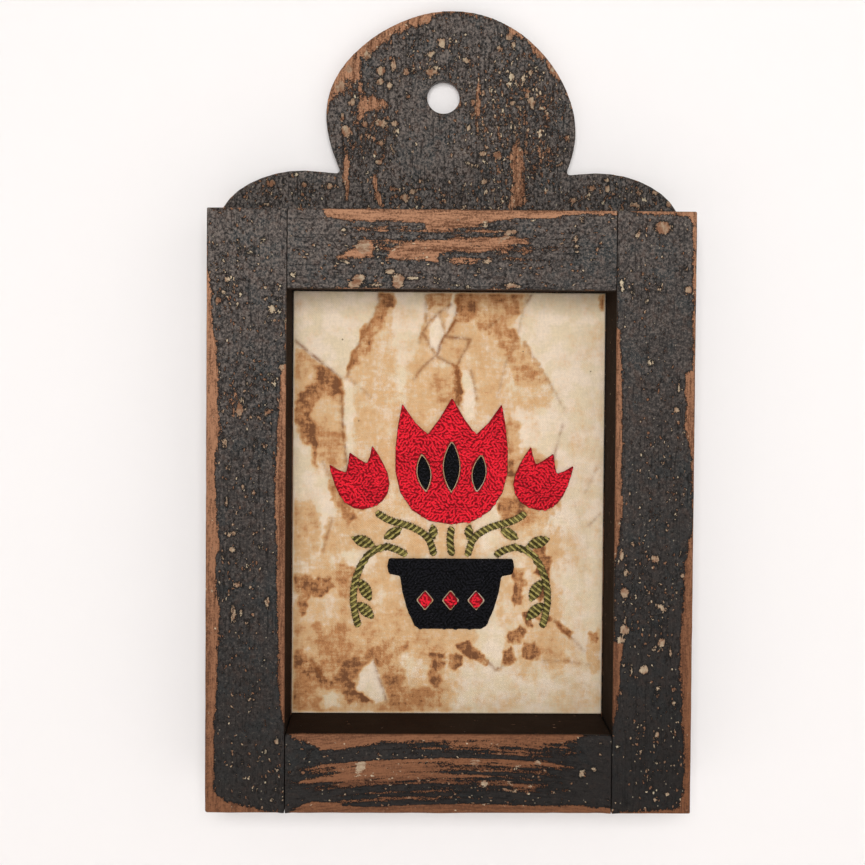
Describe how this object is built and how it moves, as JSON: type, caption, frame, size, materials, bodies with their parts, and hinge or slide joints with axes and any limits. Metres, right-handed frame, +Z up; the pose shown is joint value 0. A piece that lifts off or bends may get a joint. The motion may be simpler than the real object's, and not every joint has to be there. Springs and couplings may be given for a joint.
{
  "type": "framed needle punch sampler",
  "caption": "Wall-hung worn wooden frame with a round-headed backboard, holding stained muslin worked in needle punch with a pot of flowers.",
  "frame": {"origin": "axis of the hanging hole, in the plane of the backboard's back, which lies on the wall", "axes": "+Z up the sampler's height, +Y into the wall, so the face looks along -Y, +X to the viewer's right"},
  "size_m": [0.1886, 0.0385, 0.3168],
  "materials": {
    "frame_paint": "satin charcoal-black paint, chipped and rubbed through to brown wood",
    "muslin": "matt plain weave, stained brown",
    "red_yarn": "matt looped pile",
    "black_yarn": "matt looped pile",
    "olive_thread": "matt twisted thread"
  },
  "bodies": {
    "root": {"stile_left": "frame_paint", "stile_right": "frame_paint", "rail_top": "frame_paint", "rail_bottom": "frame_paint", "backboard": "frame_paint", "cloth": "muslin", "bud_left": "red_yarn", "bud_right": "red_yarn", "diamond_left": "red_yarn", "diamond_middle": "red_yarn", "diamond_right": "red_yarn", "flower": "red_yarn", "pot": "black_yarn", "seed_left": "black_yarn", "seed_middle": "black_yarn", "seed_right": "black_yarn", "sprig_left": "olive_thread", "sprig_left_leaf_1": "olive_thread", "sprig_left_leaf_2": "olive_thread", "sprig_left_leaf_3": "olive_thread", "sprig_right": "olive_thread", "sprig_right_leaf_1": "olive_thread", "sprig_right_leaf_2": "olive_thread", "sprig_right_leaf_3": "olive_thread", "stem_centre": "olive_thread", "stem_left": "olive_thread", "stem_left_leaf_1": "olive_thread", "stem_left_leaf_2": "olive_thread", "stem_right": "olive_thread", "stem_right_leaf_1": "olive_thread", "stem_right_leaf_2": "olive_thread"}
  },
  "joints": []
}
